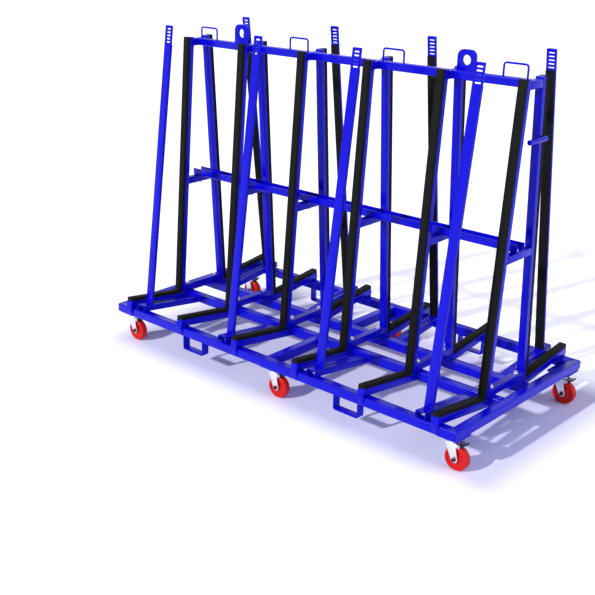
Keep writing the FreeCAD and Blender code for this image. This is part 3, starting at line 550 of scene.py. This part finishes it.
class TROLLEY_OT_poles(bpy.types.Operator):
    """Coat the lift-out poles and lay their rubber"""
    bl_idname = "trolley.poles"
    bl_label = "Poles"

    def execute(self, context):
        detail = context.scene.trolley_detail
        for pole in POLES:
            body = f"pole_{pole}"
            rounded_copy(f"pole_{pole}", detail.steel_edge, body, "blue_powder_coat")
            rounded_copy(f"pole_rubber_{pole}", detail.rubber_edge, body, "black_rubber")
        return {"FINISHED"}


class TROLLEY_OT_rubber(bpy.types.Operator):
    """Lay the rubber on the uprights and ledges"""
    bl_idname = "trolley.rubber"
    bl_label = "Rubber facings"

    def execute(self, context):
        edge = context.scene.trolley_detail.rubber_edge
        for node in RUBBER:
            rounded_copy(node, edge, "base", "black_rubber")
        return {"FINISHED"}


def smaller_solids(solids):
    """All but the largest."""
    return sorted(solids, key=lambda solid: (solid.high - solid.low).length)[:-1]


class TROLLEY_OT_castors(bpy.types.Operator):
    """Finish the castors' plates, forks, wheels and brakes"""
    bl_idname = "trolley.castors"
    bl_label = "Castors"

    def execute(self, context):
        edge = context.scene.trolley_detail.pressing_edge
        rounded_copy("castor_plates", edge, "base", "zinc_plated_steel")
        for castor in CASTORS:
            # A fork's smaller solids are its axle bolt and brake pin
            rounded_copy(f"castor_fork_{castor}", edge, f"castor_{castor}", "zinc_plated_steel",
                         dark=smaller_solids)
            # A brake takes the dark zinc colour all over: painted shade, standing in for the rail's
            # shade that it sits in
            rounded_copy(f"castor_brake_{castor}", edge, f"brake_{castor}", "zinc_plated_steel",
                         dark=list)
            rounded_copy(f"castor_wheel_{castor}", edge, f"wheel_{castor}", "red_polyurethane")
        return {"FINISHED"}


# Sizes of a bolt's parts, as shares of its radius
HEX_CORNER_SHARE = 1.85
HEX_HEIGHT_SHARE = 1.3
WASHER_RADIUS_SHARE = 2.0
WASHER_HEIGHT_SHARE = 0.25
THREAD_RADIUS_SHARE = 0.9
THREAD_END_SHARE = 0.4
HEX_SIDES = 6
WASHER_SIDES = 32
SHANK_SIDES = 24
# Each part's sides, radius, foot and height
BOLT_PARTS = {
    "hexagon": (HEX_SIDES, HEX_CORNER_SHARE, WASHER_HEIGHT_SHARE, HEX_HEIGHT_SHARE),
    "washer": (WASHER_SIDES, WASHER_RADIUS_SHARE, 0.0, WASHER_HEIGHT_SHARE),
    "thread": (SHANK_SIDES, THREAD_RADIUS_SHARE, WASHER_HEIGHT_SHARE,
               HEX_HEIGHT_SHARE + THREAD_END_SHARE),
}
# The cone that takes a hexagon's corners off: its top is a little narrower than the flats, and it
# is turned a little, so that none of its edges meets a corner
CHAMFER_SIDES = 48
CHAMFER_ANGLE = math.radians(30.0)
CHAMFER_SHARE = 0.95 * HEX_CORNER_SHARE * math.cos(math.pi / HEX_SIDES)
CHAMFER_RUN = 1.0 / math.tan(CHAMFER_ANGLE)
CHAMFER_TURN = math.radians(2.0)
# Point attributes of a bolt's ends
OUTWARD = "outward"
HAS_HEXAGON = "has_hexagon"
HAS_THREAD = "has_thread"


def bolt_tree():
    """Makes a bolt of each edge of a mesh.

    A shank runs along the edge. The ends so marked get a washer and a chamfered hexagon, and the
    thread that stands out of a nut.
    """
    tree, given = new_group("bolt", Radius="Float")
    parts = {}
    for name, (sides, radius, foot, height) in BOLT_PARTS.items():
        prism = put(tree, "GeometryNodeMeshCylinder",
                    {"Vertices": sides, "Radius": radius, "Depth": height})
        placed = put(tree, "GeometryNodeTransform", {
            "Geometry": prism.outputs[0], "Translation": (0.0, 0.0, foot + height / 2)})
        parts[name] = placed.outputs[0]
    cone = put(tree, "GeometryNodeMeshCone", {
        "Vertices": CHAMFER_SIDES, "Radius Top": CHAMFER_SHARE, "Depth": HEX_HEIGHT_SHARE,
        "Radius Bottom": CHAMFER_SHARE + HEX_HEIGHT_SHARE * CHAMFER_RUN})
    cone = put(tree, "GeometryNodeTransform", {
        "Geometry": cone.outputs[0], "Translation": (0.0, 0.0, WASHER_HEIGHT_SHARE),
        "Rotation": (0.0, 0.0, CHAMFER_TURN)})
    head = put(tree, "GeometryNodeMeshBoolean", {"Mesh 2": [parts["hexagon"], cone.outputs[0]]},
               operation="INTERSECT", solver="EXACT")
    head = put(tree, "GeometryNodeJoinGeometry", {"Geometry": [head.outputs[0], parts["washer"]]})
    line = put(tree, "GeometryNodeMeshToCurve", {"Mesh": given["Geometry"]})
    circle = put(tree, "GeometryNodeCurvePrimitiveCircle",
                 {"Resolution": SHANK_SIDES, "Radius": given["Radius"]})
    shank = put(tree, "GeometryNodeCurveToMesh", {
        "Curve": line.outputs[0], "Profile Curve": circle.outputs[0], "Fill Caps": True})
    outward = put(tree, "GeometryNodeInputNamedAttribute", {"Name": OUTWARD},
                  data_type="FLOAT_VECTOR")
    turn = put(tree, "FunctionNodeAlignRotationToVector", {"Vector": outward.outputs[0]}, axis="Z")
    pieces = [shank.outputs[0]]
    for mark, part in ((HAS_HEXAGON, head.outputs[0]), (HAS_THREAD, parts["thread"])):
        marked = put(tree, "GeometryNodeInputNamedAttribute", {"Name": mark}, data_type="BOOLEAN")
        copies = put(tree, "GeometryNodeInstanceOnPoints", {
            "Points": given["Geometry"], "Instance": part, "Selection": marked.outputs[0],
            "Rotation": turn.outputs[0], "Scale": given["Radius"]})
        pieces.append(copies.outputs[0])
    bolt = put(tree, "GeometryNodeJoinGeometry", {"Geometry": pieces})
    return end_group(tree, bolt.outputs[0], given["Material"])


def bolt_seed(node, has_nut):
    """A node's bolts as a mesh of upright edges, head end first, and their radius.

    An edge ends on the seat of a head or nut, or else at the end of the shank.
    """
    bm = joined_mesh(node)
    solids = split_solids(bm)
    bm.free()
    radius = (solids[0].high.x - solids[0].low.x) / 2 / HEX_CORNER_SHARE
    inset = radius * HEX_HEIGHT_SHARE
    points = []
    for solid in solids:
        top = solid.high.z - (inset if has_nut else 0.0)
        points.append((solid.middle.x, solid.middle.y, solid.low.z + inset))
        points.append((solid.middle.x, solid.middle.y, top))
    mesh = edge_mesh(f"{node}_seed", points)
    outward = mesh.attributes.new(OUTWARD, "FLOAT_VECTOR", "POINT")
    outward.data.foreach_set("vector", [0.0, 0.0, -1.0, 0.0, 0.0, 1.0] * len(solids))
    for name, pair in ((HAS_HEXAGON, [True, has_nut]), (HAS_THREAD, [has_nut, False])):
        mark = mesh.attributes.new(name, "BOOLEAN", "POINT")
        mark.data.foreach_set("value", pair * len(solids))
    return mesh, radius


# Whether each node's bolts have a nut
BOLTS = {"frame_bolts": True, "mid_rail_bolts": True, "castor_bolts": False}


class TROLLEY_OT_fasteners(bpy.types.Operator):
    """Make the bolts that hold the A-frames, the middle rail and the castors"""
    bl_idname = "trolley.fasteners"
    bl_label = "Fasteners"

    def execute(self, context):
        tree = bolt_tree()
        for node, has_nut in BOLTS.items():
            seed, radius = bolt_seed(node, has_nut)
            mesh = grown_mesh(f"{node}_finish", seed, tree, Radius=radius,
                              Material=finish("zinc_plated_steel"))
            add_piece(f"{node}_finish", mesh, "base", "zinc_plated_steel", node)
        return {"FINISHED"}


# Camera matched to the photograph: its lens in pixels, its place, its turn about Z and its tilt
IMAGE_PIXELS = 595.0
LENS_PIXELS = 1076.4
CENTRE_PIXEL = (234.89, 317.16)
CAMERA_PLACE = (3.5307, -4.4015, 2.5140)
CAMERA_TURN = 0.77753
CAMERA_TILT = -0.37405
SENSOR_WIDTH = 36.0
WHITE = (1.0, 1.0, 1.0)
# How far to the right a direction points where the fill starts to grow
SKY_TURN = -0.2
FLOOR_REACH = 60.0
# The floor turns white over a band round the trolley's box, moved a little the way shadows fall: a
# painted light that whitens the far shadows, while inside the band the floor keeps its lilac
# painted shade
FADE_WIDTH = 0.22
FADE_SHIFT = (0.08, 0.08, 0.0)
# A shadow's run along the floor for each metre of height, along X and Y
SHADOW_RUN = (0.38, 1.67)


def background_rays(tree):
    """1 for a ray that shows the background: from the camera, off gloss or through glass."""
    path = put(tree, "ShaderNodeLightPath").outputs
    seen = put(tree, "ShaderNodeMath", {0: path["Is Camera Ray"], 1: path["Is Glossy Ray"]},
               operation="ADD")
    seen = put(tree, "ShaderNodeMath", {0: seen.outputs[0], 1: path["Is Transmission Ray"]},
               operation="ADD", use_clamp=True)
    return seen.outputs[0]


class TROLLEY_OT_stage(bpy.types.Operator):
    """Set the floor, the light and the camera"""
    bl_idname = "trolley.stage"
    bl_label = "Stage"

    def execute(self, context):
        scene = context.scene
        scene.view_settings.view_transform = "Standard"
        self.floor(scene)
        self.light(scene)
        self.camera(scene)
        return {"FINISHED"}

    def floor(self, scene):
        """A pale floor that takes the shadows, darker and bluer next to the trolley as painted
        shade and blue bounce, and lit white further out by a painted glow.
        """
        bm = bmesh.new()
        bmesh.ops.create_grid(bm, x_segments=1, y_segments=1, size=FLOOR_REACH)
        mesh = bpy.data.meshes.new("floor")
        bm.to_mesh(mesh)
        bm.free()
        floor = bpy.data.objects.new("floor", mesh)
        scene.collection.objects.link(floor)
        material, tree, shader = new_material("studio_floor", {
            "Base Color": opaque(scene.trolley_finish.floor), "Roughness": 1.0,
            "Specular IOR Level": 0.0, "Emission Color": opaque(WHITE)})
        away = put(tree, "ShaderNodeTexCoord").outputs["Object"]
        away = put(tree, "ShaderNodeVectorMath", {0: away, 1: FADE_SHIFT}, operation="SUBTRACT")
        away = put(tree, "ShaderNodeVectorMath", {0: away.outputs[0]}, operation="ABSOLUTE")
        away = put(tree, "ShaderNodeVectorMath", {0: away.outputs[0], 1: tuple(CAD_BOX[1])},
                   operation="SUBTRACT")
        away = put(tree, "ShaderNodeVectorMath", {0: away.outputs[0], 1: (0.0, 0.0, 0.0)},
                   operation="MAXIMUM")
        away = put(tree, "ShaderNodeVectorMath", {0: away.outputs[0]}, operation="LENGTH")
        fade = put(tree, "ShaderNodeMapRange", {
            "Value": away.outputs["Value"], "From Max": FADE_WIDTH,
            "To Max": scene.trolley_stage.floor_lift})
        # Painted light: the floor glows for camera and glossy rays, more the further it lies from
        # the trolley, which whitens the far shadows
        lift = put(tree, "ShaderNodeMath", {0: background_rays(tree), 1: fade.outputs["Result"]},
                   operation="MULTIPLY")
        tree.links.new(lift.outputs[0], shader.inputs["Emission Strength"])
        mesh.materials.append(material)

    def light(self, scene):
        """A low sun from the front left, and a fill that grows to the right."""
        stage = scene.trolley_stage
        lamp = bpy.data.lights.new("sun", "SUN")
        lamp.energy = stage.sun_power
        lamp.angle = stage.sun_spread
        sun = bpy.data.objects.new("sun", lamp)
        scene.collection.objects.link(sun)
        travel = Vector((*SHADOW_RUN, -1.0))
        sun.rotation_mode = "QUATERNION"
        sun.rotation_quaternion = travel.to_track_quat("-Z", "Y")
        world = bpy.data.worlds.new("studio")
        world.use_nodes = True
        scene.world = world
        tree = world.node_tree
        background = tree.nodes["Background"].inputs
        seen = background_rays(tree)
        place = put(tree, "ShaderNodeTexCoord")
        aim = put(tree, "ShaderNodeSeparateXYZ", {0: place.outputs["Generated"]})
        fill = put(tree, "ShaderNodeMapRange", {
            "Value": aim.outputs["X"], "From Min": SKY_TURN, "To Min": stage.sky_left,
            "To Max": stage.sky_right})
        strength = put(tree, "ShaderNodeMapRange",
                       {"Value": seen, "To Min": fill.outputs["Result"], "To Max": 1.0})
        tree.links.new(strength.outputs["Result"], background["Strength"])
        tint = put(tree, "ShaderNodeMix", {"Factor": seen, "A": opaque(stage.sky_tint),
                                           "B": opaque(WHITE)}, data_type="RGBA")
        tree.links.new(tint.outputs["Result"], background["Color"])

    def camera(self, scene):
        """The photograph's view."""
        lens = bpy.data.cameras.new("camera")
        lens.sensor_width = SENSOR_WIDTH
        lens.lens = LENS_PIXELS / IMAGE_PIXELS * SENSOR_WIDTH
        lens.shift_x = 0.5 - CENTRE_PIXEL[0] / IMAGE_PIXELS
        lens.shift_y = CENTRE_PIXEL[1] / IMAGE_PIXELS - 0.5
        camera = bpy.data.objects.new("camera", lens)
        camera.location = CAMERA_PLACE
        camera.rotation_euler = (math.pi / 2 + CAMERA_TILT, 0.0, CAMERA_TURN)
        scene.collection.objects.link(camera)
        scene.camera = camera


OPERATORS = (TROLLEY_OT_base_steel, TROLLEY_OT_upper_steel, TROLLEY_OT_weld_seams,
             TROLLEY_OT_poles, TROLLEY_OT_rubber, TROLLEY_OT_castors, TROLLEY_OT_fasteners,
             TROLLEY_OT_stage)
SETTINGS = {"trolley_finish": FinishSettings, "trolley_detail": DetailSettings,
            "trolley_stage": StageSettings}


class TROLLEY_PT_panel(bpy.types.Panel):
    """The trolley's settings, and a button for each group of pieces"""
    bl_label = "Glazing trolley"
    bl_idname = "TROLLEY_PT_panel"
    bl_space_type = "VIEW_3D"
    bl_region_type = "UI"
    bl_category = "Trolley"

    def draw(self, context):
        for name, kind in SETTINGS.items():
            box = self.layout.box()
            for prop in kind.__annotations__:
                box.prop(getattr(context.scene, name), prop)
        for operator in OPERATORS:
            self.layout.operator(operator.bl_idname)


CLASSES = tuple(SETTINGS.values()) + OPERATORS + (TROLLEY_PT_panel,)


def register():
    for kind in CLASSES:
        bpy.utils.register_class(kind)
    for name, kind in SETTINGS.items():
        setattr(bpy.types.Scene, name, PointerProperty(type=kind))


def unregister():
    for name in SETTINGS:
        delattr(bpy.types.Scene, name)
    for kind in reversed(CLASSES):
        bpy.utils.unregister_class(kind)


def main():
    register()
    for operator in OPERATORS:
        group, name = operator.bl_idname.split(".")
        getattr(getattr(bpy.ops, group), name)()


if __name__ == "__main__":
    main()
